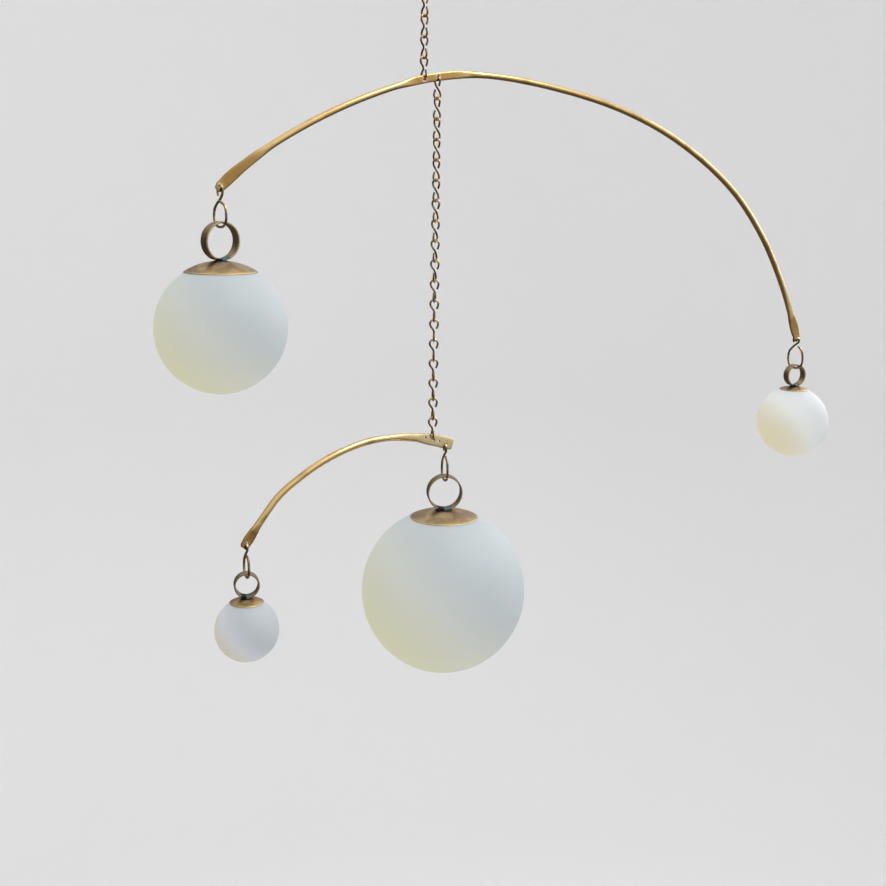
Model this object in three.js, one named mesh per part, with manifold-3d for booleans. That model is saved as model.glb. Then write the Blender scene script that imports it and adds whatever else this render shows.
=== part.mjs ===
// A hanging mobile: two forged brass arms, one above the other, joined by a jack chain.
// Each arm carries an opal glass globe at either end. Every globe hangs by a brass cap, a ring
// of flat strip soldered upright on the cap, and a figure-eight hook of bent wire.
//
// Millimetres, +Z up. The long arm lies in the XZ plane. The origin is the point, inside the top
// of the hanging ring, where the ceiling hook bears.

import * as THREE from "three";
import { mergeVertices } from "three/addons/utils/BufferGeometryUtils.js";
import Module from "manifold-3d";

const wasm = await Module();
wasm.setup();

// ---- driving dimensions ------------------------------------------------------------------

const CLEARANCE = 0.3; // left between pieces that hang in or rest on one another

const HANGING_RING = { wire: 2.4, insideRadius: 8 };

const LINK = { wire: 1.5, pitch: 15.05, halfWidth: 3.05, sides: 5, steps: 14 };
const UPPER_CHAIN = { links: 5, topTurn: 108, bottomTurn: 98 };
const LOWER_CHAIN = { links: 18, topTurn: 11, bottomTurn: 75 };

const CHAIN_HOLE_RADIUS = 1.5;
const HOOK_HOLE_RADIUS = 1.5;
const BEND_RISE = 0.4; // how far a bend curves away within the thickness of an arm
const SPARE_HOLE_RADIUS = 1.2;

// Arm shapes are given from the hole that carries them: x to the right along the arm, z up.
// A section is { at: share of the arm's length, high, thick }, both measured across the bar.
const LONG_ARM = {
  path: [
    [-158.1, -81.3], [-143.2, -67.9], [-114, -47.4], [-68.4, -23.4], [-21, -5.3], [14, 2.9],
    [47, 5.5], [100, 0.9], [176, -15.3], [237, -40.2], [294.2, -78.6], [330.6, -119.7],
    [355.3, -162], [367.5, -190], [375.9, -211.6],
  ],
  sections: [
    { at: 0, high: 4.6, thick: 1.8 },
    { at: 0.005, high: 7.4, thick: 2 },
    { at: 0.018, high: 8.2, thick: 2.1 },
    { at: 0.045, high: 6.8, thick: 2.9 },
    { at: 0.085, high: 4.9, thick: 4.5 },
    { at: 0.235, high: 4.7, thick: 4.8 },
    { at: 0.268, high: 6.2, thick: 2.8 },
    { at: 0.31, high: 6.1, thick: 2.8 },
    { at: 0.36, high: 4.7, thick: 4.6 },
    { at: 0.5, high: 4.8, thick: 4.8 },
    { at: 0.9, high: 5, thick: 4.9 },
    { at: 0.955, high: 5.6, thick: 3.8 },
    { at: 0.982, high: 8.8, thick: 2.1 },
    { at: 0.995, high: 7, thick: 1.9 },
    { at: 1, high: 4.4, thick: 1.7 },
  ],
  steps: 54,
  upperHole: [0, 0],
  lowerHole: [11.1, 2.9],
  leftHole: [-156.1, -78.3],
  rightHole: [374.6, -208.5],
};

const SHORT_ARM = {
  turn: 4,
  path: [
    [-156.2, -63.2], [-150.3, -55.4], [-140.9, -43.2], [-128.2, -28.6], [-115.3, -19.3],
    [-96.1, -8.6], [-76.5, -1], [-56.5, 3.7], [-36.1, 4.8], [-15.2, 2.7], [4.3, -1.7],
    [17.6, -5.6],
  ],
  sections: [
    { at: 0, high: 4.6, thick: 1.7 },
    { at: 0.01, high: 6.8, thick: 1.9 },
    { at: 0.035, high: 7.6, thick: 2.1 },
    { at: 0.1, high: 5.4, thick: 3.6 },
    { at: 0.16, high: 4.9, thick: 4.7 },
    { at: 0.7, high: 4.9, thick: 4.7 },
    { at: 0.82, high: 6.2, thick: 3.6 },
    { at: 0.9, high: 8.8, thick: 2.4 },
    { at: 0.96, high: 9.4, thick: 2.2 },
    { at: 0.992, high: 9.3, thick: 2.1 },
    { at: 1, high: 7.6, thick: 1.9 },
  ],
  steps: 30,
  chainHole: [0, 0],
  spareHoles: [[-7.3, 2.1], [5.1, -2.1]],
  rightHole: [11.3, -5],
  leftHole: [-153.7, -60.3],
};

const HOOK_WIRE = 1.8;
const HOOK_BEND_DEPTH = 0.1; // rise of the hook's lower bend for each square of its half width
const STRIP_THICKNESS = 1.2;
const CAP_THICKNESS = 1;

// One entry for each globe: the hook's length between the centres of its two bends, the depth at
// which its wire crosses and how far its lower end laps beside the crossing, the strip ring's
// outside diameter and width, the cap's width and the globe's radius. Turns are in degrees about
// the vertical: how far the ring's axis and the hook's plane swing from +Y.
const GLOBES = {
  left: {
    hook: 28.6, crossing: 9.5, lap: 1.9, ring: 27, strip: 8, cap: 51.2, globe: 46.2,
    ringTurn: 13.5, hookTurn: 19,
  },
  right: {
    hook: 27.7, crossing: 6.4, lap: 0, ring: 19.4, strip: 6.6, cap: 25, globe: 31,
    ringTurn: -5, hookTurn: 20,
  },
  big: {
    hook: 28.3, crossing: 7.5, lap: 0.2, ring: 27.2, strip: 8.5, cap: 52.4, globe: 63.3,
    ringTurn: -24, hookTurn: -13.6,
  },
  small: {
    hook: 24.5, crossing: 6.4, lap: 0.6, ring: 18.2, strip: 7, cap: 24.6, globe: 23,
    ringTurn: -19.8, hookTurn: -8.6,
  },
};

// ---- materials ---------------------------------------------------------------------------

const chainBrass = new THREE.MeshStandardMaterial({ color: 0x5c4528, roughness: 0.45, metalness: 1 });
const armBrass = new THREE.MeshStandardMaterial({ color: 0xb58a45, roughness: 0.38, metalness: 1 });
const capBrass = new THREE.MeshStandardMaterial({ color: 0xa7834c, roughness: 0.42, metalness: 1 });
const hookBrass = new THREE.MeshStandardMaterial({ color: 0x86703f, roughness: 0.4, metalness: 1 });
const opalGlass = new THREE.MeshStandardMaterial({ color: 0xcdd2ca, roughness: 0.35, metalness: 0 });

// ---- shapes ------------------------------------------------------------------------------

/** A scene geometry as a closed solid whose shared corners are merged. */
function solidOf(geometry) {
  const bare = geometry.clone();
  bare.deleteAttribute("normal");
  bare.deleteAttribute("uv");
  const merged = mergeVertices(bare, 1e-4);
  const mesh = new wasm.Mesh({
    numProp: 3,
    vertProperties: Float32Array.from(merged.attributes.position.array),
    triVerts: Uint32Array.from(merged.index.array),
  });
  return new wasm.Manifold(mesh);
}

/** A solid's vertices and triangles as a scene geometry. */
function geometryOf(solid) {
  const mesh = solid.getMesh();
  const geometry = new THREE.BufferGeometry();
  geometry.setAttribute("position", new THREE.BufferAttribute(mesh.vertProperties, 3));
  geometry.setIndex(new THREE.BufferAttribute(mesh.triVerts, 1));
  return geometry;
}

/** A round wire of the given diameter bent along a curve, with square-cut ends. */
function wireAlong(curve, diameter, sides, steps) {
  const section = new THREE.Shape();
  for (let i = 0; i < sides; i += 1) {
    const angle = (2 * Math.PI * i) / sides;
    const x = (diameter / 2) * Math.cos(angle);
    const y = (diameter / 2) * Math.sin(angle);
    if (i === 0) section.moveTo(x, y);
    else section.lineTo(x, y);
  }
  section.closePath();
  return new THREE.ExtrudeGeometry(section, { steps, extrudePath: curve });
}

/** Smooth blend of a section's size between the two entries on either side of a place. */
function sectionAt(sections, place, key) {
  const next = Math.max(1, sections.findIndex((s) => s.at >= place));
  const before = sections[next - 1];
  const after = sections[next];
  const share = THREE.MathUtils.smoothstep(place, before.at, after.at);
  return THREE.MathUtils.lerp(before[key], after[key], share);
}

/** A rod bent along a path in the XZ plane and hammered to the given sections along it. */
function forgedBar({ path, sections, steps }) {
  const curve = new THREE.CatmullRomCurve3(path.map(([x, z]) => new THREE.Vector3(x, 0, z)));
  curve.arcLengthDivisions = 600;
  const bar = new THREE.CylinderGeometry(1, 1, 1, 8, steps);
  const corners = bar.attributes.position;
  for (let i = 0; i < corners.count; i += 1) {
    const place = THREE.MathUtils.clamp(endsCrowded(corners.getY(i) + 0.5), 0, 1);
    const centre = curve.getPointAt(place);
    const along = curve.getTangentAt(place);
    const high = (corners.getX(i) * sectionAt(sections, place, "high")) / 2;
    const thick = (corners.getZ(i) * sectionAt(sections, place, "thick")) / 2;
    corners.setXYZ(i, centre.x - along.z * high, thick, centre.z + along.x * high);
  }
  return bar;
}

/** Moves evenly spaced places towards both ends of a bar, where its outline turns fastest. */
function endsCrowded(place) {
  return place - Math.sin(2 * Math.PI * place) * 0.11;
}

/** Holes drilled through a bar along Y, each given as { at: [x, z], radius }. */
function drilled(bar, holes) {
  let solid = solidOf(bar);
  for (const { at, radius } of holes) {
    const drill = new THREE.CylinderGeometry(radius, radius, 12, 12);
    drill.translate(at[0], 0, at[1]);
    solid = solid.subtract(solidOf(drill));
  }
  return geometryOf(solid);
}

/** One jack-chain link: a figure eight with its upper loop across Y and its lower across X. */
function linkGeometry() {
  const half = linkLength() / 2;
  const w = LINK.halfWidth;
  const loop = [
    [0.62 * w, 0.17 * half], [0.9 * w, 0.42 * half], [w, 0.64 * half], [0.7 * w, 0.9 * half],
    [0, half], [-0.7 * w, 0.9 * half], [-w, 0.64 * half], [-0.76 * w, 0.36 * half],
    [-0.28 * w, 0.12 * half],
  ];
  const upper = loop.map(([across, up]) => new THREE.Vector3(0, -across, up));
  const lower = loop.map(([across, up]) => new THREE.Vector3(-across, 0, -up)).reverse();
  const curve = new THREE.CatmullRomCurve3([...upper, ...lower]);
  return wireAlong(curve, LINK.wire, LINK.sides, LINK.steps);
}

/** A link's length between the wire centres of its two bends. */
function linkLength() {
  return LINK.pitch + LINK.wire + CLEARANCE;
}

/** A hook bent in the YZ plane: small loop above for the arm, larger loop below for the ring. */
function hookGeometry({ hook, crossing, lap }) {
  const upper = [
    [1.9, -0.74 * crossing], [2.7, -0.4 * crossing], [1.95, -0.8], [0, 0], [-1.95, -0.8],
    [-2.75, -0.36 * crossing], [-2.1, -0.7 * crossing], [0, -crossing],
  ];
  const lower = [
    [3.6, -crossing - 3.2], [6.4, -crossing - 7.4], [6.5, 5 - hook], [4.2, 1.1 - hook],
    [0, -hook], [-4.2, 1.1 - hook], [-6.5, 5 - hook], [-6.2, -crossing - 7],
    [-4.4, -crossing - 3.7],
  ];
  const points = [...upper, ...lower].map(([y, z]) => new THREE.Vector3(0, y, z));
  points.push(new THREE.Vector3(-lap, 0.8 * lap - 2.2, 0.5 * lap - 1.8 - crossing));
  return wireAlong(new THREE.CatmullRomCurve3(points), HOOK_WIRE, 6, 22);
}

/** A ring of flat strip standing upright, its axis along Y. */
function stripRingGeometry(outside, width) {
  const outer = outside / 2;
  const inner = outer - STRIP_THICKNESS;
  const half = width / 2;
  const profile = [
    [inner, -half], [outer, -half], [outer, half], [inner, half], [inner, -half],
  ].map(([x, y]) => new THREE.Vector2(x, y));
  return new THREE.LatheGeometry(profile, 24);
}

/** A shallow dished cap, its underside following the globe, its top rising to height 0. */
function capGeometry(width, globe) {
  const under = globe + CLEARANCE;
  const over = under + CAP_THICKNESS;
  const reach = Math.asin(width / 2 / over);
  const rings = 3;
  const arc = (radius, share) => {
    const angle = reach * share;
    return new THREE.Vector2(radius * Math.sin(angle), radius * Math.cos(angle) - over);
  };
  const top = [];
  const bottom = [];
  for (let i = 0; i <= rings; i += 1) {
    bottom.push(arc(under, i / rings));
    top.push(arc(over, 1 - i / rings));
  }
  bottom[0].x = 0;
  top[rings].x = 0;
  const profile = [...bottom, ...top];
  const cap = new THREE.LatheGeometry(profile, 20);
  return cap.rotateX(Math.PI / 2);
}

// ---- assembly ----------------------------------------------------------------------------

const mobile = new THREE.Group();

/** Adds a named piece to a group and returns its mesh. */
function addPiece(parent, name, geometry, material) {
  const mesh = new THREE.Mesh(geometry, material);
  mesh.name = name;
  parent.add(mesh);
  return mesh;
}

/** Hangs a run of links from a height and returns the height of the last bend's wire centre. */
function hangChain(name, chain, x, topWire) {
  for (let i = 0; i < chain.links; i += 1) {
    const share = THREE.MathUtils.smoothstep(i, 0, chain.links - 1);
    const turn = THREE.MathUtils.lerp(chain.topTurn, chain.bottomTurn, share);
    const number = String(i + 1).padStart(2, "0");
    const link = addPiece(mobile, `${name}_${number}`, linkGeometry(), chainBrass);
    link.rotation.z = THREE.MathUtils.degToRad(turn);
    link.position.set(x, 0, topWire - linkLength() / 2 - i * LINK.pitch);
  }
  return topWire - linkLength() - (chain.links - 1) * LINK.pitch;
}

/** Hangs a hook, strip ring, cap and globe from a hole in an arm. */
function hangGlobe(parent, name, at) {
  const sizes = GLOBES[name];
  const set = new THREE.Group();
  set.position.set(at[0], 0, at[1]);
  parent.add(set);

  const hookTop = -HOOK_HOLE_RADIUS + HOOK_WIRE / 2 + CLEARANCE + BEND_RISE;
  const hook = addPiece(set, `${name}_hook`, hookGeometry(sizes), hookBrass);
  hook.position.z = hookTop;
  hook.rotation.z = THREE.MathUtils.degToRad(sizes.hookTurn);

  const seat = HOOK_BEND_DEPTH * (sizes.strip / 2) ** 2;
  const ringTop = hookTop - sizes.hook + HOOK_WIRE / 2 + seat + CLEARANCE + STRIP_THICKNESS;
  const ring = addPiece(
    set, `${name}_ring`, stripRingGeometry(sizes.ring, sizes.strip), capBrass,
  );
  ring.position.z = ringTop - sizes.ring / 2;
  ring.rotation.z = THREE.MathUtils.degToRad(sizes.ringTurn);

  const capTop = ringTop - sizes.ring - CLEARANCE;
  const cap = addPiece(set, `${name}_cap`, capGeometry(sizes.cap, sizes.globe), capBrass);
  cap.position.z = capTop;

  const globeTop = capTop - CAP_THICKNESS - CLEARANCE;
  const rows = Math.round(8 + sizes.globe / 12);
  const globe = addPiece(
    set, `${name}_ball`, new THREE.SphereGeometry(sizes.globe, 2 * rows - 4, rows), opalGlass,
  );
  globe.rotation.x = Math.PI / 2;
  globe.position.z = globeTop - sizes.globe;
}

const ringCentreRadius = HANGING_RING.insideRadius + HANGING_RING.wire / 2;
const hangingRing = addPiece(
  mobile,
  "hanging_ring",
  new THREE.TorusGeometry(ringCentreRadius, HANGING_RING.wire / 2, 6, 20).rotateX(Math.PI / 2),
  chainBrass,
);
hangingRing.rotation.z = THREE.MathUtils.degToRad(UPPER_CHAIN.topTurn);
hangingRing.position.z = -HANGING_RING.insideRadius;

const upperTop =
  -HANGING_RING.insideRadius - ringCentreRadius
  + HANGING_RING.wire / 2 + LINK.wire / 2 + CLEARANCE;
const upperBottom = hangChain("upper_link", UPPER_CHAIN, 0, upperTop);
const wireInHole = CHAIN_HOLE_RADIUS - LINK.wire / 2 - CLEARANCE - BEND_RISE;

const longArm = new THREE.Group();
longArm.position.z = upperBottom - wireInHole;
mobile.add(longArm);
addPiece(
  longArm,
  "long_arm",
  drilled(forgedBar(LONG_ARM), [
    { at: LONG_ARM.upperHole, radius: CHAIN_HOLE_RADIUS },
    { at: LONG_ARM.lowerHole, radius: CHAIN_HOLE_RADIUS },
    { at: LONG_ARM.leftHole, radius: HOOK_HOLE_RADIUS },
    { at: LONG_ARM.rightHole, radius: HOOK_HOLE_RADIUS },
  ]),
  armBrass,
);
hangGlobe(longArm, "left", LONG_ARM.leftHole);
hangGlobe(longArm, "right", LONG_ARM.rightHole);

const [lowerX, lowerHoleZ] = LONG_ARM.lowerHole;
const lowerTop = longArm.position.z + lowerHoleZ - wireInHole;
const lowerBottom = hangChain("lower_link", LOWER_CHAIN, lowerX, lowerTop);

const shortArm = new THREE.Group();
shortArm.position.set(lowerX, 0, lowerBottom - wireInHole);
shortArm.rotation.z = THREE.MathUtils.degToRad(SHORT_ARM.turn);
mobile.add(shortArm);
addPiece(
  shortArm,
  "short_arm",
  drilled(forgedBar(SHORT_ARM), [
    { at: SHORT_ARM.chainHole, radius: CHAIN_HOLE_RADIUS },
    ...SHORT_ARM.spareHoles.map((at) => ({ at, radius: SPARE_HOLE_RADIUS })),
    { at: SHORT_ARM.rightHole, radius: HOOK_HOLE_RADIUS },
    { at: SHORT_ARM.leftHole, radius: HOOK_HOLE_RADIUS },
  ]),
  armBrass,
);
hangGlobe(shortArm, "big", SHORT_ARM.rightHole);
hangGlobe(shortArm, "small", SHORT_ARM.leftHole);

export default mobile;
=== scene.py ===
"""A hanging mobile: forged brass arms on jack chain, carrying opal glass globes.

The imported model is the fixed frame. Every piece is modelled here as by hand, from the same centrelines and
sizes, is seated at the middle of its own node's box and stands for that node: round drawn wire, hammered
and drilled bars, strip rings, dished caps, satin glass and the solder under each ring. A piece's own sizes
are in millimetres, and places in the frame are in metres.
"""

from __future__ import annotations

import logging
import math
import random
from collections.abc import Callable, Iterator
from contextlib import contextmanager
from dataclasses import dataclass
from enum import Enum
from itertools import accumulate, pairwise
from math import radians

import bmesh
import bpy
from mathutils import Matrix, Vector, noise

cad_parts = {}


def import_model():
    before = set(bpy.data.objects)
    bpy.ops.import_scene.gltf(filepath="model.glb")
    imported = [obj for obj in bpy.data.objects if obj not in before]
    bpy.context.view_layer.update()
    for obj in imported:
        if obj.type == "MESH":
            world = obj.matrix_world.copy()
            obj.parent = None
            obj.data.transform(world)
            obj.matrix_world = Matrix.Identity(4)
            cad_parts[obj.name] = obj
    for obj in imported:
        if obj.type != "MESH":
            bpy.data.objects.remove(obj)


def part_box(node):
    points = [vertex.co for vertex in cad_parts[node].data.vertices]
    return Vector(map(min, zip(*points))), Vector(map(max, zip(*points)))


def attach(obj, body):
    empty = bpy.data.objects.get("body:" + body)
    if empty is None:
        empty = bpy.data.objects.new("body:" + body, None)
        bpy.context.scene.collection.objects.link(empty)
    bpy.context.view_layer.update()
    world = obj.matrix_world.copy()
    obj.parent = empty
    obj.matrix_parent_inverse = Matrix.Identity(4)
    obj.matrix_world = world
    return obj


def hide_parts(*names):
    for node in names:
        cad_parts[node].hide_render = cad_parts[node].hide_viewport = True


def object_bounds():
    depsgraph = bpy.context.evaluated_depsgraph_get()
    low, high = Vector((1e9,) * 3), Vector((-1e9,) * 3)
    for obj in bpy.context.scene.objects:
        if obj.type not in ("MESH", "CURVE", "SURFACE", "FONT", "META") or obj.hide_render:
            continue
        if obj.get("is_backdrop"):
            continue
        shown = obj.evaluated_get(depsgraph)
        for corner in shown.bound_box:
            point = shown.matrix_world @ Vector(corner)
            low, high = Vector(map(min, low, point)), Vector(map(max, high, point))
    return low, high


log = logging.getLogger("mobile")

MM = 0.001
BODY = "root"

Piece = bpy.types.Object
Socket = bpy.types.NodeSocket
Triple = tuple[float, float, float]
Colour = Triple
Spot = tuple[float, float]
Box = tuple[Vector, Vector]


class Element(Enum):
    """What an edit-mode selection is made of."""

    FACES = "FACE"
    EDGES = "EDGE"


class Slot(Enum):
    """The record's material slots."""

    CHAIN = "chain_brass"
    ARM = "arm_brass"
    HOOK = "hook_brass"
    RING = "ring_brass"
    CAP = "cap_brass"
    GLASS = "opal_glass"


# ---- the workbench -----------------------------------------------------------------------------------


class Bench:
    """The hand operations that every piece is made with."""

    @staticmethod
    def clear() -> None:
        """Deselects everything, so that an operator acts only on what is taken next."""
        bpy.ops.object.select_all(action="DESELECT")

    @staticmethod
    def take(piece: Piece) -> None:
        """Makes a piece the only selected one and the active one.

        Args:
            piece: The piece to work on.
        """
        Bench.clear()
        piece.select_set(True)
        bpy.context.view_layer.objects.active = piece

    @staticmethod
    def named(name: str) -> Piece:
        """Names the primitive that was added last and puts its turn into its mesh.

        Args:
            name: The piece's name.

        Returns:
            The piece.
        """
        piece = bpy.context.active_object
        piece.name = name
        piece.data.name = name
        Bench.settle(piece)
        return piece

    @staticmethod
    @contextmanager
    def editing(piece: Piece) -> Iterator[None]:
        """Holds a piece in edit mode.

        Args:
            piece: The piece to edit.
        """
        Bench.take(piece)
        bpy.ops.object.mode_set(mode="EDIT")
        try:
            yield
        finally:
            bpy.ops.object.mode_set(mode="OBJECT")

    @staticmethod
    def pick(
        piece: Piece,
        element: Element,
        test: Callable[[bmesh.types.BMFace | bmesh.types.BMEdge], bool],
    ) -> None:
        """Selects, in edit mode, only the faces or edges that pass a test.

        Args:
            piece: The piece in edit mode.
            element: Whether faces or edges are tested.
            test: Says whether one face or edge is picked.
        """
        bpy.ops.mesh.select_mode(type=element.value)
        bpy.ops.mesh.select_all(action="DESELECT")
        shape = bmesh.from_edit_mesh(piece.data)
        for part in shape.faces if element is Element.FACES else shape.edges:
            part.select_set(bool(test(part)))
        bmesh.update_edit_mesh(piece.data)

    @staticmethod
    def modify(piece: Piece, kind: str, **settings: object) -> None:
        """Adds one modifier and applies it.

        Args:
            piece: The piece.
            kind: The modifier's type.
            **settings: The modifier's own settings.
        """
        Bench.take(piece)
        modifier = piece.modifiers.new(kind.title(), kind)
        for key, value in settings.items():
            setattr(modifier, key, value)
        bpy.ops.object.modifier_apply(modifier=modifier.name)

    @staticmethod
    def ease(piece: Piece, width: float, segments: int) -> None:
        """Rounds a piece's sharp edges over a width in millimetres."""
        sharp = {"limit_method": "ANGLE", "angle_limit": radians(60)}
        Bench.modify(piece, "BEVEL", width=width * MM, segments=segments, **sharp)

    @staticmethod
    def scrap(piece: Piece) -> None:
        """Throws away a guide or cutter that has done its work."""
        bpy.data.objects.remove(piece)

    @staticmethod
    def settle(piece: Piece) -> None:
        """Puts a piece's place, turn and scale into its mesh."""
        Bench.take(piece)
        bpy.ops.object.transform_apply(location=True, rotation=True, scale=True)

    @staticmethod
    def turn(piece: Piece, degrees: float) -> None:
        """Turns a piece about the vertical through the origin, anticlockwise from above."""
        piece.rotation_euler = (0, 0, radians(degrees))
        Bench.settle(piece)

    @staticmethod
    def close(piece: Piece, smooth_under: float = 35) -> None:
        """Merges doubles, turns all faces outwards and smooths the shading.

        Args:
            piece: The piece.
            smooth_under: Edges that bend by less than this, in degrees, are shaded smooth.
        """
        with Bench.editing(piece):
            bpy.ops.mesh.select_mode(type="VERT")
            bpy.ops.mesh.select_all(action="SELECT")
            bpy.ops.mesh.remove_doubles(threshold=1e-6)
            bpy.ops.mesh.normals_make_consistent(inside=False)
        bpy.ops.object.shade_smooth_by_angle(angle=radians(smooth_under))

    @staticmethod
    def twin(piece: Piece, name: str) -> Piece:
        """Copies a piece with a mesh of its own.

        Args:
            piece: The piece to copy.
            name: The copy's name.

        Returns:
            The copy.
        """
        copy = piece.copy()
        copy.data = piece.data.copy()
        copy.name = name
        copy.data.name = name
        bpy.context.scene.collection.objects.link(copy)
        return copy

    @staticmethod
    def seat(piece: Piece, node: str) -> None:
        """Moves a finished piece so that the middle of its box is the middle of a node's box.

        Args:
            piece: The piece, with its turn already in its mesh.
            node: The node that it stands for.
        """
        low, high = box_of(piece)
        node_low, node_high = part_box(node)
        piece.location = (node_low + node_high - low - high) / 2
        Bench.settle(piece)

    @staticmethod
    def paint(piece: Piece, name: str, amount: Callable[[Vector], float]) -> None:
        """Gives each point of a piece a value that its finish reads."""
        layer = piece.data.attributes.new(name, "FLOAT", "POINT")
        layer.data.foreach_set("value", [amount(vertex.co / MM) for vertex in piece.data.vertices])

    @staticmethod
    def reshape(piece: Piece, moved: Callable[[Vector], Vector]) -> None:
        """Moves every point of a piece by a rule.

        Args:
            piece: The piece.
            moved: A point's new place, from its old one, both in millimetres.
        """
        for vertex in piece.data.vertices:
            vertex.co = moved(vertex.co / MM) * MM
        piece.data.update()

    @staticmethod
    def deliver(piece: Piece, slot: Slot, finish: bpy.types.Material, *nodes: str) -> None:
        """Dresses a finished piece and hands it to the frame.

        Args:
            piece: The piece, with its place in its mesh.
            slot: The record's slot that its finish belongs to.
            finish: Its material.
            *nodes: The nodes that it stands for.
        """
        piece.data.materials.clear()
        piece.data.materials.append(finish)
        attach(piece, BODY)
        if nodes:
            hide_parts(*nodes)
        log.info("%-22s %6d faces  %s", piece.name, len(piece.data.polygons), slot.value)


def box_of(piece: Piece) -> Box:
    """Lowest and highest corner of a piece's mesh.

    Args:
        piece: The piece, with its place in its mesh.

    Returns:
        The two corners.
    """
    places = [vertex.co for vertex in piece.data.vertices]
    low = Vector([min(place[axis] for place in places) for axis in range(3)])
    high = Vector([max(place[axis] for place in places) for axis in range(3)])
    return low, high


def eased(value: float, start: float, end: float) -> float:
    """Smooth step from 0 at start to 1 at end.

    Args:
        value: The value to place.
        start: Where the step begins.
        end: Where it ends.

    Returns:
        The share, from 0 to 1.
    """
    share = min(1.0, max(0.0, (value - start) / (end - start)))
    return share * share * (3 - 2 * share)


def blended(low: float, high: float, share: float) -> float:
    """A value between two others, by share."""
    return low + (high - low) * share


# ---- bent wire ---------------------------------------------------------------------------------------


@dataclass(frozen=True)
class Rail:
    """A smooth line through points, in millimetres, that wire or bar is bent along."""

    points: tuple[Vector, ...]

    def slopes(self) -> list[tuple[Vector, Vector]]:
        """Start and end slope of each stretch, evened out by the square root of its length.

        Returns:
            One pair of slopes for each stretch between two points.
        """
        first, second = self.points[:2]
        before, last = self.points[-2:]
        run = [2 * first - second, *self.points, 2 * last - before]
        steps = [math.sqrt((b - a).length) for a, b in pairwise(run)]
        found = []
        for i in range(1, len(run) - 2):
            a, b, c, d = run[i - 1 : i + 3]
            s, t, u = steps[i - 1 : i + 2]
            leaving = (b - a) / s - (c - a) / (s + t) + (c - b) / t
            arriving = (c - b) / t - (d - b) / (t + u) + (d - c) / u
            found.append((leaving * t, arriving * t))
        return found

    def curve(self, name: str, smoothness: int) -> Piece:
        """Lays the line as a curve object.

        Args:
            name: The curve's name.
            smoothness: Steps between two points.

        Returns:
            The curve, in metres.
        """
        Bench.clear()
        bpy.ops.curve.primitive_bezier_curve_add(location=(0, 0, 0))
        curve = bpy.context.active_object
        curve.name = name
        curve.data.dimensions = "3D"
        curve.data.resolution_u = smoothness
        spline = curve.data.splines[0]
        spline.bezier_points.add(len(self.points) - 2)
        slopes = self.slopes()
        arriving = [slopes[0][0], *(slope for _, slope in slopes)]
        leaving = [*(slope for slope, _ in slopes), slopes[-1][1]]
        for knot, place, before, after in zip(spline.bezier_points, self.points, arriving, leaving):
            knot.handle_left_type = knot.handle_right_type = "FREE"
            knot.co = place * MM
            knot.handle_left = (place - before / 3) * MM
            knot.handle_right = (place + after / 3) * MM
        return curve


@dataclass(frozen=True)
class Wire:
    """Round drawn wire, cut square with its edges eased and bent along a line."""

    rail: Rail
    diameter: float
    roundness: int = 5
    smoothness: int = 7
    cut_easing: float = 0.16

    def bend(self, name: str) -> Piece:
        """Bends the wire.

        Args:
            name: The piece's name.

        Returns:
            The bent wire, in metres, round the line's own origin.
        """
        curve = self.rail.curve(name, self.smoothness)
        curve.data.bevel_depth = self.diameter / 2 * MM
        curve.data.bevel_resolution = self.roundness
        curve.data.use_fill_caps = True
        Bench.take(curve)
        bpy.ops.object.convert(target="MESH")
        wire = Bench.named(name)
        Bench.close(wire)
        with Bench.editing(wire):
            Bench.pick(wire, Element.FACES, lambda face: len(face.verts) > 4)
            bpy.ops.mesh.region_to_loop()
            bpy.ops.mesh.bevel(offset=self.diameter * self.cut_easing * MM, segments=2, affect="EDGES")
        Bench.close(wire)
        return wire


# ---- finishes ----------------------------------------------------------------------------------------


def rgba(colour: Colour) -> tuple[float, float, float, float]:
    """A colour with full alpha."""
    return (*colour, 1.0)


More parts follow.
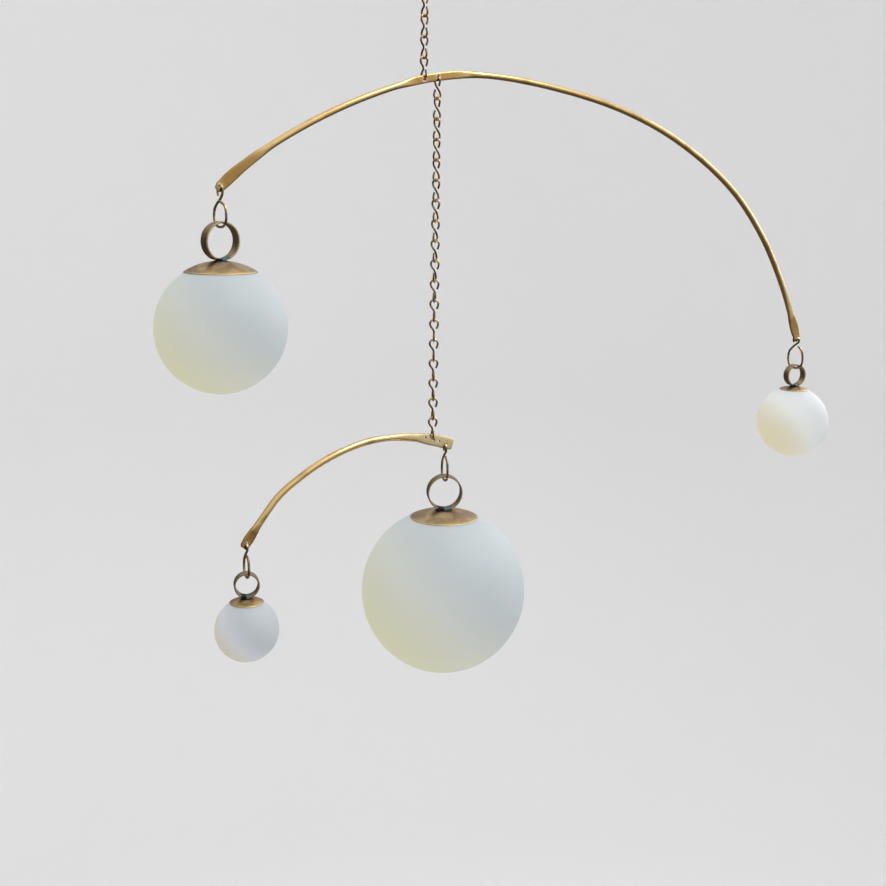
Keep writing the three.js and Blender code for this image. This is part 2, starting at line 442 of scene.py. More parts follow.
class Sheet:
    """A node tree being wired up, with short calls for the usual nodes."""

    def __init__(self, tree: bpy.types.NodeTree) -> None:
        """Takes a tree and empties it."""
        self.tree = tree
        tree.nodes.clear()

    @classmethod
    def of(cls, name: str) -> tuple[bpy.types.Material, Sheet]:
        """Makes a material and the sheet to wire it on.

        Args:
            name: The material's name.

        Returns:
            The material and its sheet.
        """
        material = bpy.data.materials.new(name)
        material.use_nodes = True
        return material, cls(material.node_tree)

    def add(
        self, kind: str, values: dict[str | int, object] | None = None, **settings: object
    ) -> bpy.types.Node:
        """Adds one node with its settings, each input a value or a socket to link from.

        Args:
            kind: The node's type, without its ShaderNode prefix.
            values: Inputs by name or number.
            **settings: The node's own settings.

        Returns:
            The node.
        """
        node = self.tree.nodes.new(kind if kind.startswith("NodeGroup") else "ShaderNode" + kind)
        for key, value in settings.items():
            setattr(node, key, value)
        for key, value in (values or {}).items():
            if isinstance(value, Socket):
                self.tree.links.new(value, node.inputs[key])
            else:
                node.inputs[key].default_value = value
        return node

    def math(self, operation: str, a: object, b: object = 0.0, c: object = 0.0) -> Socket:
        """Works out a number, kept from 0 to 1."""
        return self.add("Math", {0: a, 1: b, 2: c}, operation=operation, use_clamp=True).outputs[0]

    def ramp(self, value: object, low: object, high: object) -> Socket:
        """Spreads a range of values smoothly over 0 to 1."""
        values = {"Value": value, "From Min": low, "From Max": high}
        return self.add("MapRange", values, interpolation_type="SMOOTHSTEP").outputs["Result"]

    def mix(self, share: object, a: object, b: object) -> Socket:
        """Mixes two colours, the share saying how much of the second."""
        a, b = (rgba(colour) if isinstance(colour, tuple) else colour for colour in (a, b))
        return self.add("Mix", {0: share, 6: a, 7: b}, data_type="RGBA").outputs[2]

    def cloud(self, place: object, scale: object, detail: float, distortion: float = 0) -> Socket:
        """Cloudy noise round a half.

        Args:
            place: The place's socket.
            scale: Clouds to a metre.
            detail: How many finer layers lie on it.
            distortion: How far it is stirred.

        Returns:
            The noise's socket.
        """
        values = {"Vector": place, "Scale": scale, "Detail": detail, "Roughness": 0.6}
        values["Distortion"] = distortion
        return self.add("TexNoise", values).outputs[0]

    def painted(self, name: str) -> Socket:
        """Reads a value painted on the piece."""
        return self.add("Attribute", attribute_name=name).outputs["Fac"]


class Patina:
    """Node group: cloudy tarnish, fine speckle and the height of pits and hairlines in a metal."""

    NAME = "patina"
    INPUTS = (("Cloud Scale", 90.0), ("Cloud Level", 0.5), ("Speckle Scale", 900.0))
    OUTPUTS = ("Cloud", "Speckle", "Height")
    CLOUD_EDGE = 0.1
    PIT_START, PIT_END = 0.54, 0.7
    PIT_DEPTH = -0.4

    @classmethod
    def group(cls) -> bpy.types.NodeTree:
        """Builds the group once.

        Returns:
            The node group.
        """
        if cls.NAME in bpy.data.node_groups:
            return bpy.data.node_groups[cls.NAME]
        tree = bpy.data.node_groups.new(cls.NAME, "ShaderNodeTree")
        sheet = Sheet(tree)
        tree.interface.new_socket("Vector", in_out="INPUT", socket_type="NodeSocketVector")
        for name, default in cls.INPUTS:
            socket = tree.interface.new_socket(name, in_out="INPUT", socket_type="NodeSocketFloat")
            socket.default_value = default
        for name in cls.OUTPUTS:
            tree.interface.new_socket(name, in_out="OUTPUT", socket_type="NodeSocketFloat")
        given = sheet.add("NodeGroupInput").outputs
        cloud = sheet.cloud(given["Vector"], given["Cloud Scale"], 5.0, 0.7)
        start = sheet.math("SUBTRACT", given["Cloud Level"], cls.CLOUD_EDGE)
        end = sheet.math("ADD", given["Cloud Level"], cls.CLOUD_EDGE)
        speckle = sheet.cloud(given["Vector"], given["Speckle Scale"], 3.0)
        pits = sheet.ramp(speckle, cls.PIT_START, cls.PIT_END)
        grain = sheet.cloud(given["Vector"], given["Speckle Scale"], 8.0)
        height = sheet.math("MULTIPLY_ADD", pits, cls.PIT_DEPTH, grain)
        cloud = sheet.ramp(cloud, start, end)
        sheet.add("NodeGroupOutput", {"Cloud": cloud, "Speckle": pits, "Height": height})
        return tree


@dataclass(frozen=True)
class Brass:
    """Aged brass: brown patina; bright where it is worn, a mark that also carries painted glints and
    highlights; a dark patch at the rings' feet that is heat stain with painted shade; darkened green where it
    has corroded; and beaten flats painted darker, partly a painted reflection of the dark room they face.
    """

    name: str
    # Bright colour of worn places, which also stand for painted glints and highlights.
    rubbed_and_glint: Colour
    aged: Colour
    dark: Colour
    # Colour painted on the beaten flats: darker and more orange, partly a painted reflection of the dark room
    # they face.
    flat: Colour = (0.42, 0.21, 0.05)
    # Near-black patch at the rings' feet: heat stain with painted shade where ring and cap meet.
    scorch_and_shade: Colour = (0.02, 0.016, 0.014)
    bloom: Colour = (0.10, 0.15, 0.14)
    roughness: float = 0.32
    cloud_scale: float = 90.0
    cloud_level: float = 0.55
    relief: float = 0.25
    speckle_scale: float = 1400.0
    flat_share: float = 0.75
    cloud_dulls: float = 0.14
    scorch_and_shade_dulls: float = 0.2
    bloom_dulls: float = 0.3
    bloom_covers: float = 0.7

    def material(self) -> bpy.types.Material:
        """Wires the finish.

        Returns:
            The material.
        """
        material, sheet = Sheet.of(self.name)
        place = sheet.add("TexCoord").outputs["Object"]
        patina = sheet.add(
            "Group",
            {"Vector": place, "Cloud Scale": self.cloud_scale, "Cloud Level": self.cloud_level,
             "Speckle Scale": self.speckle_scale},
            node_tree=Patina.group(),
        ).outputs
        # The bright worn mark: wear on the metal together with painted glints and highlights.
        rub_and_glint = sheet.math("MULTIPLY", sheet.painted("rub_and_glint"), sheet.math("SUBTRACT", 1.0, patina["Speckle"]))
        ragged = sheet.cloud(place, self.cloud_scale * 3, 4.0, 0.5)
        # Dark patch at the rings' feet: heat stain with painted shade where ring and cap meet.
        scorch_and_shade = self.ragged_edge(sheet, "scorch_and_shade", ragged)
        bloom = self.ragged_edge(sheet, "bloom", ragged)
        colour = sheet.mix(patina["Cloud"], self.aged, self.dark)
        # Flats painted darker: partly a painted reflection of the dark room that their broad faces mirror.
        colour = sheet.mix(sheet.math("MULTIPLY", sheet.painted("flat"), self.flat_share), colour, self.flat)
        colour = sheet.mix(rub_and_glint, colour, self.rubbed_and_glint)
        colour = sheet.mix(scorch_and_shade, colour, self.scorch_and_shade)
        colour = sheet.mix(bloom, colour, self.bloom)
        duller = sheet.math("MULTIPLY_ADD", patina["Cloud"], self.cloud_dulls, self.roughness)
        duller = sheet.math("MULTIPLY_ADD", scorch_and_shade, self.scorch_and_shade_dulls, duller)
        duller = sheet.math("MULTIPLY_ADD", bloom, self.bloom_dulls, duller)
        metal = sheet.math("MULTIPLY_ADD", bloom, -self.bloom_covers, 1.0)
        relief = sheet.add(
            "Bump", {"Strength": self.relief, "Distance": 0.1 * MM, "Height": patina["Height"]},
        ).outputs["Normal"]
        shader = sheet.add(
            "BsdfPrincipled",
            {"Base Color": colour, "Roughness": duller, "Metallic": metal, "Normal": relief},
        )
        sheet.add("OutputMaterial", {"Surface": shader.outputs[0]})
        return material

    @staticmethod
    def ragged_edge(sheet: Sheet, name: str, ragged: Socket) -> Socket:
        """A painted mark with an uneven edge: the green bloom, and the dark patch at the rings' feet that is
        partly painted shade.
        """
        shaken = sheet.math("MULTIPLY_ADD", sheet.painted(name), 1.0, ragged)
        return sheet.ramp(shaken, 0.78, 1.0)


@dataclass(frozen=True)
class Opal:
    """Satin opal glass with its light and shade painted on: bluish and dimmer towards a fixed light
    direction, warm and glowing away from it.

    The three colours are painted shading of the glass towards the light, across it and away from it. The
    three painted glows are emission that stands for the light that has come through the milky wall there; the
    globe is no lamp.
    """

    name: str
    # Painted shading towards, across and away from the light, then the painted glow for each.
    painted_lit_colour: Colour = (0.27, 0.30, 0.31)
    middle: Colour = (0.33, 0.35, 0.34)
    painted_far_colour: Colour = (0.34, 0.34, 0.24)
    lit_side_painted_glow: Colour = (0.23, 0.25, 0.26)
    across_painted_glow: Colour = (0.33, 0.33, 0.29)
    far_side_painted_glow: Colour = (0.36, 0.36, 0.25)
    towards_light: Triple = (0.62, -0.30, 0.72)
    roughness: float = 0.55
    bead_scale: float = 2200.0
    haze_scale: float = 60.0
    haze: float = 0.12

    def material(self, centre: Vector, radius: float) -> bpy.types.Material:
        """Wires the finish for one globe.

        Args:
            centre: The globe's centre, in metres.
            radius: Its radius, in metres.

        Returns:
            The material.
        """
        material, sheet = Sheet.of(self.name)
        place = sheet.add("TexCoord").outputs["Object"]
        centred = sheet.add(
            "Mapping",
            {"Vector": place, "Location": -centre / radius, "Scale": Vector((1, 1, 1)) / radius},
        ).outputs[0]
        # Painted light: how far each point faces the fixed light direction sets its shading and its glow.
        lit = sheet.add(
            "VectorMath", {0: centred, 1: Vector(self.towards_light).normalized()}, operation="DOT_PRODUCT",
        ).outputs["Value"]
        stirred = sheet.math("MULTIPLY_ADD", sheet.cloud(centred, 1.3, 2.0), 0.1, -0.05)
        share = sheet.add("Math", {0: lit, 1: stirred}, operation="ADD").outputs[0]
        towards, away = sheet.ramp(share, -0.25, 0.55), sheet.ramp(share, 0.05, -0.95)
        colour = sheet.mix(away, sheet.mix(towards, self.middle, self.painted_lit_colour), self.painted_far_colour)
        # Painted glow: emission standing for light through the milky glass, brighter and warmer away from the
        # light.
        painted_glow = sheet.mix(away, sheet.mix(towards, self.across_painted_glow, self.lit_side_painted_glow), self.far_side_painted_glow)
        bead = sheet.cloud(place, self.bead_scale, 2.0)
        relief = sheet.add("Bump", {"Strength": 0.08, "Distance": 0.05 * MM, "Height": bead})
        haze = sheet.cloud(place, self.haze_scale, 3.0)
        dull = sheet.math("MULTIPLY_ADD", haze, self.haze, self.roughness - self.haze / 2)
        # The painted glow is fed to the emission.
        shader = sheet.add(
            "BsdfPrincipled",
            {"Base Color": colour, "Roughness": dull, "IOR": 1.5, "Specular IOR Level": 0.35,
             "Subsurface Weight": 0.6, "Subsurface Radius": (1.0, 0.85, 0.6), "Subsurface Scale": 0.02,
             "Emission Color": painted_glow, "Emission Strength": 1.0,
             "Normal": relief.outputs["Normal"]},
        )
        sheet.add("OutputMaterial", {"Surface": shader.outputs[0]})
        return material


# ---- sub-assemblies ----------------------------------------------------------------------------------


@dataclass(frozen=True)
class HangingRing:
    """The ring that the ceiling hook bears in: wire bent round until its ends nearly meet."""

    node: str = "hanging_ring"
    wire: float = 2.4
    inside_radius: float = 8
    turn: float = 108
    joint: float = 8
    bends: int = 14

    def build(self, finish: Brass) -> None:
        """Bends the ring and dresses it.

        Args:
            finish: The chain's brass.
        """
        radius = self.inside_radius + self.wire / 2
        start, end = radians(self.joint / 2 - 90), radians(270 - self.joint / 2)
        angles = [blended(start, end, i / (self.bends - 1)) for i in range(self.bends)]
        round_line = [Vector((radius * math.cos(angle), 0, radius * math.sin(angle))) for angle in angles]
        ring = Wire(Rail(tuple(round_line)), self.wire, roundness=7).bend("ceiling_ring")
        Bench.turn(ring, self.turn)
        Bench.seat(ring, self.node)
        top = box_of(ring)[1].z / MM
        # Brighter at the top, where the hook bears: wear with a painted glint.
        Bench.paint(ring, "rub_and_glint", lambda place: 1 - eased(top - place.z, 1.5, 6))
        Bench.deliver(ring, Slot.CHAIN, finish.material(), self.node)


@dataclass(frozen=True)
class JackChain:
    """Single jack chain: figure-eight links whose two loops stand square to each other."""

    name: str
    links: int
    top_turn: float
    bottom_turn: float
    pitch: float = 15.05
    wire: float = 1.5
    half_width: float = 3.05
    sway: float = 1.2
    seed: int = 5

    def loop(self) -> list[Spot]:
        """The upper loop's centreline, from the waist round and back, as (across, up)."""
        half, w = (self.pitch + self.wire) / 2, self.half_width
        return [
            (0.62 * w, 0.17 * half), (0.9 * w, 0.42 * half), (w, 0.64 * half), (0.7 * w, 0.9 * half),
            (0, half), (-0.7 * w, 0.9 * half), (-w, 0.64 * half), (-0.76 * w, 0.36 * half),
            (-0.28 * w, 0.12 * half),
        ]

    def link(self) -> Piece:
        """Bends one link round the origin.

        Returns:
            The link, painted brighter inside its two bends: wear with painted glints.
        """
        upper = [Vector((0, -across, up)) for across, up in self.loop()]
        lower = [Vector((-across, 0, -up)) for across, up in reversed(self.loop())]
        link = Wire(Rail((*upper, *lower)), self.wire, roundness=4, smoothness=5).bend(self.name)
        half = self.pitch / 2
        # Brighter inside the bends, where links bear: wear with painted glints.
        Bench.paint(link, "rub_and_glint", lambda place: eased(abs(place.z), half * 0.78, half) * 0.8)
        return link

    def build(self, finish: Brass) -> None:
        """Hangs the links, each turned a little further than the one above.

        Args:
            finish: The chain's brass.
        """
        draw = random.Random(self.seed)
        dressed = finish.material()
        pattern = self.link()
        for i in range(self.links):
            node = f"{self.name}_link_{i + 1:02d}"
            turn = blended(self.top_turn, self.bottom_turn, eased(i, 0, self.links - 1))
            link = Bench.twin(pattern, f"{self.name}_chain_link_{i + 1:02d}")
            Bench.turn(link, turn + draw.uniform(-self.sway, self.sway))
            Bench.seat(link, node)
            Bench.deliver(link, Slot.CHAIN, dressed, node)
        Bench.scrap(pattern)


@dataclass(frozen=True)
class Section:
    """Size across a bar at one place, given as a share of its length."""

    at: float
    high: float
    thick: float


@dataclass(frozen=True)
class Hole:
    """A hole drilled through an arm, placed from the hole that carries the arm."""

    at: Spot
    radius: float


@dataclass(frozen=True)
class Flat:
    """A stretch of bar beaten flat: its middle and half length as shares of the bar."""

    at: float
    reach: float
    blows: int


@dataclass(frozen=True)
class ForgedArm:
    """A brass rod drawn out, beaten flat in places, bent and drilled."""

    name: str
    node: str
    path: tuple[Spot, ...]
    sections: tuple[Section, ...]
    flats: tuple[Flat, ...]
    holes: tuple[Hole, ...]
    turn: float = 0
    # How much brighter the bar is painted towards its right end: a painted sheen.
    bright: float = 0
    stations: int = 230
    sides: int = 40
    seed: int = 11

    def size_at(self, share: float) -> Section:
        """Size across the bar at a place, blended smoothly between the named sections.

        Args:
            share: The place as a share of the bar's length.

        Returns:
            The section there.
        """
        for before, after in pairwise(self.sections):
            if share <= after.at:
                blend = eased(share, before.at, after.at)
                high = blended(before.high, after.high, blend)
                return Section(share, high, blended(before.thick, after.thick, blend))
        return self.sections[-1]

    def places(self) -> list[float]:
        """Shares of the length where the bar is worked, closer together on its flats.

        Returns:
            The shares, from 0 to 1.
        """
        fine = 2000
        density = [
            1 + sum(3.5 * math.exp(-(((i / fine) - flat.at) / flat.reach) ** 2) for flat in self.flats)
            for i in range(fine)
        ]
        reached = [0.0, *accumulate(density)]
        found, step = [], 0
        for i in range(self.stations + 1):
            wanted = reached[-1] * i / self.stations
            while step < fine and reached[step + 1] < wanted:
                step += 1
            found.append(min(1.0, (step + (wanted - reached[step]) / density[min(step, fine - 1)]) / fine))
        return found

    def draw_out(self, length: float) -> Piece:
        """Draws a round blank out along X, section by section.

        Args:
            length: The bar's length in millimetres.

        Returns:
            The straight bar.
        """
        Bench.clear()
        bpy.ops.mesh.primitive_circle_add(
            vertices=self.sides, radius=MM, fill_type="NGON", rotation=(0, math.pi / 2, 0),
        )
        bar = Bench.named(self.name)
        sizes = [self.size_at(share) for share in self.places()]
        with Bench.editing(bar):
            bpy.ops.mesh.select_all(action="SELECT")
            bpy.ops.transform.resize(value=(1, sizes[0].thick / 2, sizes[0].high / 2))
            for before, here in pairwise(sizes):
                bpy.ops.mesh.extrude_region_move(
                    TRANSFORM_OT_translate={"value": ((here.at - before.at) * length * MM, 0, 0)}
                )
                bpy.ops.transform.resize(value=(1, here.thick / before.thick, here.high / before.high))
        return bar

    def blows(self, length: float) -> list[tuple[float, float, float, float, int]]:
        """Where the hammer fell: place along and across, radius, depth and side of the bar."""
        draw = random.Random(self.seed)
        found = []
        for flat in self.flats:
            for _ in range(flat.blows):
                along = blended(flat.at - flat.reach, flat.at + flat.reach, draw.random()) * length
                across = draw.uniform(-3.6, 3.6)
                radius, depth = draw.uniform(2.2, 4.2), draw.uniform(0.05, 0.13)
                found.append((along, across, radius, depth, draw.choice((-1, 1))))
        return found

    def hammer(self, bar: Piece, length: float) -> None:
        """Squares the flats' edges, marks them with hammer blows and leaves the rod faintly uneven.

        Args:
            bar: The straight bar.
            length: Its length in millimetres.
        """
        blows = self.blows(length)

        def struck(place: Vector) -> Vector:
            """A point's place after hammering."""
            size = self.size_at(min(1.0, max(0.0, place.x / length)))
            half_high, half_thick = size.high / 2, size.thick / 2
            power = 2 / (2 + 2.6 * self.flatness(size))
            across = math.copysign(min(1.0, abs(place.y / half_thick)) ** power, place.y)
            up = math.copysign(min(1.0, abs(place.z / half_high)) ** power, place.z)
            uneven = 1 + 0.018 * noise.noise(Vector((place.x * 0.09, up, across)))
            uneven += 0.010 * noise.noise(Vector((place.x * 0.35, up * 1.4, across * 1.4)))
            sunk = 0.0
            for along, high, radius, depth, side in blows:
                away = math.hypot(place.x - along, up * half_high - high) / radius
                if away < 1 and across * side > 0:
                    sunk = max(sunk, depth * (1 - away * away))
            thick = half_thick * uneven - sunk * min(1.0, abs(across) * 1.5)
            return Vector((place.x, across * thick, up * half_high * uneven))

        Bench.reshape(bar, struck)

    @staticmethod
    def flatness(size: Section) -> float:
        """How flat a section is, from 0 where it is round to 1."""
        return eased(size.high / size.thick, 1.15, 2.6)

    def bend(self, bar: Piece, guide: Piece) -> None:
        """Bends the straight bar along its line, in the XZ plane."""
        Bench.modify(bar, "CURVE", object=guide, deform_axis="POS_X")

    def drill(self, bar: Piece) -> None:
        """Drills the holes.

        Args:
            bar: The bent bar.
        """
        for hole in self.holes:
            Bench.clear()
            x, z = hole.at
            bpy.ops.mesh.primitive_cylinder_add(
                vertices=32, radius=hole.radius * MM, depth=12 * MM, location=(x * MM, 0, z * MM),
                rotation=(math.pi / 2, 0, 0),
            )
            drill = Bench.named("drill")
            Bench.modify(bar, "BOOLEAN", object=drill, operation="DIFFERENCE", solver="EXACT")
            Bench.scrap(drill)

    def rubbed_and_glint(self, place: Vector) -> float:
        """How bright a place on the bent bar is painted: round its holes, wear from hooks and links with
        painted glints, and towards its right end a painted sheen.

        Args:
            place: The place, in millimetres.

        Returns:
            The brightening, from 0 to 1.
        """
        away = min(math.dist((place.x, place.z), hole.at) - hole.radius for hole in self.holes)
        # Painted sheen, growing towards the bar's right end.
        right_end_sheen = self.bright * eased(place.x, -75, 0)
        return max(0.8 * (1 - eased(away, 0.1, 0.9)), right_end_sheen)

    def build(self, finish: Brass) -> None:
        """Makes the arm and dresses it.

        Args:
            finish: The arms' brass.
        """
        rail = Rail(tuple(Vector((x, 0, z)) for x, z in self.path))
        guide = rail.curve(f"{self.name}_guide", 40)
        guide.data.twist_mode = "Z_UP"
        length = guide.data.splines[0].calc_length() / MM
        bar = self.draw_out(length)
        self.hammer(bar, length)
        # Marks the beaten flats, which the finish paints darker, partly as a painted reflection.
        Bench.paint(bar, "flat", lambda place: self.flatness(self.size_at(place.x / length)))
        self.bend(bar, guide)
        self.drill(bar)
        Bench.scrap(guide)
        Bench.close(bar, smooth_under=40)
        # Bright round the holes and towards the right end: wear with painted glints and sheen.
        Bench.paint(bar, "rub_and_glint", self.rubbed_and_glint)
        Bench.turn(bar, self.turn)
        Bench.seat(bar, self.node)
        Bench.deliver(bar, Slot.ARM, finish.material(), self.node)


@dataclass(frozen=True)
class GlobeSet:
    """A globe with its cap, strip ring, solder and hook."""

    name: str
    hook: float
    crossing: float
    lap: float
    ring: float
    strip: float
    cap: float
    globe: float
    ring_turn: float
    hook_turn: float
    glass: Opal
    hook_wire: float = 1.8
    strip_thickness: float = 1.2
    cap_thickness: float = 1.0
    clearance: float = 0.3
    solder_height: float = 0.75
    seed: int = 3

    def hook_rail(self) -> Rail:
        """The hook's line: a small loop above for the arm and a larger one below for the ring."""
        top, bottom, lap = self.crossing, self.hook, self.lap
        upper = [
            (1.9, -0.74 * top), (2.7, -0.4 * top), (1.95, -0.8), (0, 0), (-1.95, -0.8),
            (-2.75, -0.36 * top), (-2.1, -0.7 * top), (0, -top),
        ]
        lower = [
            (3.6, -top - 3.2), (6.4, -top - 7.4), (6.5, 5 - bottom), (4.2, 1.1 - bottom), (0, -bottom),
            (-4.2, 1.1 - bottom), (-6.5, 5 - bottom), (-6.2, -top - 7), (-4.4, -top - 3.7),
        ]
        end = Vector((-lap, 0.8 * lap - 2.2, 0.5 * lap - 1.8 - top))
        return Rail((*(Vector((0, across, up)) for across, up in (*upper, *lower)), end))

    def make_hook(self, finish: Brass) -> None:
        """Bends the hook.

        Args:
            finish: The hooks' brass.
        """
        hook = Wire(self.hook_rail(), self.hook_wire, roundness=6).bend(f"{self.name}_wire_hook")
        bottom = self.hook
        # Brighter at the top and bottom, where it bears: wear with painted glints.
        Bench.paint(
            hook, "rub_and_glint", lambda place: max(eased(place.z, -1.6, 0), eased(-place.z, bottom - 1.6, bottom)),
        )
        Bench.turn(hook, self.hook_turn)
        Bench.seat(hook, f"{self.name}_hook")
        Bench.deliver(hook, Slot.HOOK, finish.material(), f"{self.name}_hook")

    def make_ring(self, finish: Brass) -> None:
        """Rolls the strip ring: an open band given its thickness and eased edges, with a dark patch on one
        side of its foot, heat stain with painted shade, and green bloom on the other.

        Args:
            finish: The rings' brass.
        """
        radius = self.ring / 2
        Bench.clear()
        bpy.ops.mesh.primitive_cylinder_add(
            vertices=96, radius=radius * MM, depth=self.strip * MM, end_fill_type="NOTHING",
            rotation=(math.pi / 2, 0, 0),
        )
        ring = Bench.named(f"{self.name}_strip_ring")
        with Bench.editing(ring):
            bpy.ops.mesh.select_all(action="SELECT")
            bpy.ops.mesh.normals_make_consistent(inside=False)
            Bench.pick(ring, Element.EDGES, lambda edge: abs(edge.verts[0].co.y - edge.verts[1].co.y) > MM)
            bpy.ops.mesh.subdivide(number_cuts=7)
        Bench.modify(ring, "SOLIDIFY", thickness=self.strip_thickness * MM, offset=-1)
        Bench.ease(ring, 0.22, 2)
        seed = Vector((self.seed, 0, 0))

        def worked(place: Vector) -> Vector:
            """A point's place after the strip is rolled by hand and its foot filed flat."""
            push = 0.12 * noise.noise(place * 0.11 + seed) + 0.05 * noise.noise(place * 0.5 + seed)
            out = Vector((place.x, 0, place.z)).normalized()
            rolled = place + out * push
            return Vector((rolled.x, rolled.y, max(rolled.z, 0.12 - radius)))

        Bench.reshape(ring, worked)
        Bench.close(ring)
        foot = Vector((0, 0, -radius))
        # Dark patch on one side of the foot, where the ring meets the cap: heat stain with painted shade.
        Bench.paint(ring, "scorch_and_shade", lambda place: self.foot_mark(place, foot, -1))
        Bench.paint(ring, "bloom", lambda place: self.foot_mark(place, foot, 1) * 0.85)
        edge = self.strip / 2
        # Painted brighter along both edges of the strip: wear with painted glints.
        Bench.paint(ring, "rub_and_glint", lambda place: 0.55 * eased(abs(place.y), edge - 0.5, edge - 0.1))
        Bench.turn(ring, self.ring_turn)
        Bench.seat(ring, f"{self.name}_ring")
        Bench.deliver(ring, Slot.RING, finish.material(), f"{self.name}_ring")

    def foot_mark(self, place: Vector, foot: Vector, side: int) -> float:
        """How strongly the mark at the ring's foot lies on a place: strongest by the foot, on one side of it.
        On one side it is a dark patch, heat stain with painted shade; on the other, green bloom.

        Args:
            place: The place, in millimetres, with the ring's foot straight below the origin.
            foot: The ring's foot.
            side: Which side of the foot is marked, -1 or 1.

        Returns:
            The mark, from 0 to 1.
        """
        reach = self.ring * 0.42
        aside = eased(side * place.x, -2.5, 2.5)
        return (1 - eased((place - foot).length, reach * 0.15, reach)) * aside

    def make_cap(self, finish: Brass) -> None:
        """Dishes the cap: the top of a sphere cut off level, given its thickness and an eased rim.

        Args:
            finish: The caps' brass.
        """
        over = self.globe + self.clearance + self.cap_thickness
        reach = math.asin(self.cap / 2 / over)
        Bench.clear()
        bpy.ops.mesh.primitive_uv_sphere_add(
            segments=96, ring_count=round(math.pi / reach * 14), radius=over * MM,
        )
        cap = Bench.named(f"{self.name}_dished_cap")
        with Bench.editing(cap):
            bpy.ops.mesh.select_all(action="SELECT")
            level = over * math.cos(reach) * MM
            bpy.ops.mesh.bisect(plane_co=(0, 0, level), plane_no=(0, 0, 1), clear_inner=True)
        Bench.modify(cap, "SOLIDIFY", thickness=self.cap_thickness * MM, offset=-1)
        Bench.ease(cap, 0.3, 3)
        seed = Vector((0, self.seed, 0))

        def dished(place: Vector) -> Vector:
            """A point's place on the hand-dished sheet."""
            spread = eased(math.hypot(place.x, place.y), 0, self.cap / 2)
            push = 0.18 * noise.noise(place * 0.09 + seed) + 0.05 * noise.noise(place * 0.35 + seed)
            return place + place.normalized() * (push * spread)

        Bench.reshape(cap, dished)
        Bench.close(cap)
        top = Vector((0, 0, over))
        rim = self.cap / 2
        spot = self.ring * 0.3
        # Round the ring's foot on the cap: a dark patch, heat stain with painted shade under the ring, and
        # green bloom.
        for cap_mark, strength, inner, outer in (("scorch_and_shade", 0.8, 0.3, 1.3), ("bloom", 0.7, 0.2, 1)):
            Bench.paint(
                cap, cap_mark,
                lambda place: strength * (1 - eased((place - top).length, spot * inner, spot * outer)),
            )
        # Brighter along the rim: a painted rim highlight with wear.
        Bench.paint(cap, "rub_and_glint", lambda place: eased(math.hypot(place.x, place.y), rim - 0.9, rim - 0.1))
        Bench.seat(cap, f"{self.name}_cap")
        Bench.deliver(cap, Slot.CAP, finish.material(), f"{self.name}_cap")

    def make_solder(self, finish: Brass) -> None:
        """Runs a bead of solder under the ring's foot.

        Args:
            finish: The solder's finish.
        """
        ring_low, ring_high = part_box(f"{self.name}_ring")
        foot = (ring_low + ring_high) / 2
        foot.z = ring_low.z
        Bench.clear()
        bpy.ops.mesh.primitive_uv_sphere_add(segments=40, ring_count=20, radius=MM)
        bead = Bench.named(f"{self.name}_solder")
        half_long, half_wide, half_high = self.ring * 0.17, self.strip * 0.46, self.solder_height
        seed = Vector((0, 0, self.seed))

        def flowed(place: Vector) -> Vector:
            """A point's place on the frozen bead."""
            swell = 1 + 0.3 * noise.noise(place * 1.6 + seed) + 0.12 * noise.noise(place * 5 + seed)
            sag = -((half_long * place.x) ** 2 + (half_wide * place.y) ** 2) / (2 * self.globe)
            lift = half_high * place.z * swell + min(0.0, sag)
            return Vector((half_long * place.x * swell, half_wide * place.y * swell, lift))

        Bench.reshape(bead, flowed)
        Bench.close(bead, smooth_under=60)
        Bench.paint(bead, "bloom", lambda place: eased(noise.noise(place * 0.5 + seed), -0.1, 0.3))
        Bench.turn(bead, self.ring_turn)
        bead.location = foot
        Bench.settle(bead)
        Bench.deliver(bead, Slot.RING, finish.material())

    def make_globe(self) -> None:
        """Blows the globe: a sphere with its neck tucked in under the cap and a hand-blown waver."""
        Bench.clear()
        bpy.ops.mesh.primitive_uv_sphere_add(segments=144, ring_count=96, radius=self.globe * MM)
        globe = Bench.named(f"{self.name}_glass_globe")
        neck = self.cap * 0.32 * MM
        with Bench.editing(globe):
            Bench.pick(
                globe, Element.FACES,
                lambda face: face.calc_center_median().z > 0 and face.calc_center_median().xy.length < neck,
            )
            bpy.ops.mesh.inset(thickness=0.6 * MM)
            bpy.ops.transform.translate(value=(0, 0, -1.6 * MM))
        seed = Vector((self.seed, self.seed, 0))
        size = self.globe

        def blown(place: Vector) -> Vector:
            """A point's place on the blown glass."""
            return place * (1 + 0.0018 * noise.noise(place / size * 1.4 + seed))

        Bench.reshape(globe, blown)
        Bench.close(globe)
        Bench.seat(globe, f"{self.name}_ball")
        low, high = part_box(f"{self.name}_ball")
        finish = self.glass.material((low + high) / 2, self.globe * MM)
        Bench.deliver(globe, Slot.GLASS, finish, f"{self.name}_ball")

    def build(self, hook: Brass, ring: Brass, cap: Brass, solder: Brass) -> None:
        """Makes the whole set.

        Args:
            hook: The hook's finish.
            ring: The ring's finish.
            cap: The cap's finish.
            solder: The solder's finish.
        """
        self.make_hook(hook)
        self.make_ring(ring)
        self.make_solder(solder)
        self.make_cap(cap)
        self.make_globe()


# ---- the studio --------------------------------------------------------------------------------------


@dataclass(frozen=True)
class Softbox:
    """A square area light: where it stands, from the object's middle, its size and its power."""

    name: str
    place: Triple
    size: float
    power: float
    colour: Colour = (1, 1, 1)

    def build(self, aim: Vector) -> None:
        """Hangs the light.

        Args:
            aim: The point that it faces.
        """
        place = aim + Vector(self.place)
        bpy.ops.object.light_add(type="AREA", location=place)
        light = bpy.context.active_object
        light.name = self.name
        light.rotation_euler = (aim - place).to_track_quat("-Z", "Y").to_euler()
        light.data.shape = "SQUARE"
        light.data.size = self.size
        light.data.energy = self.power
        light.data.color = self.colour


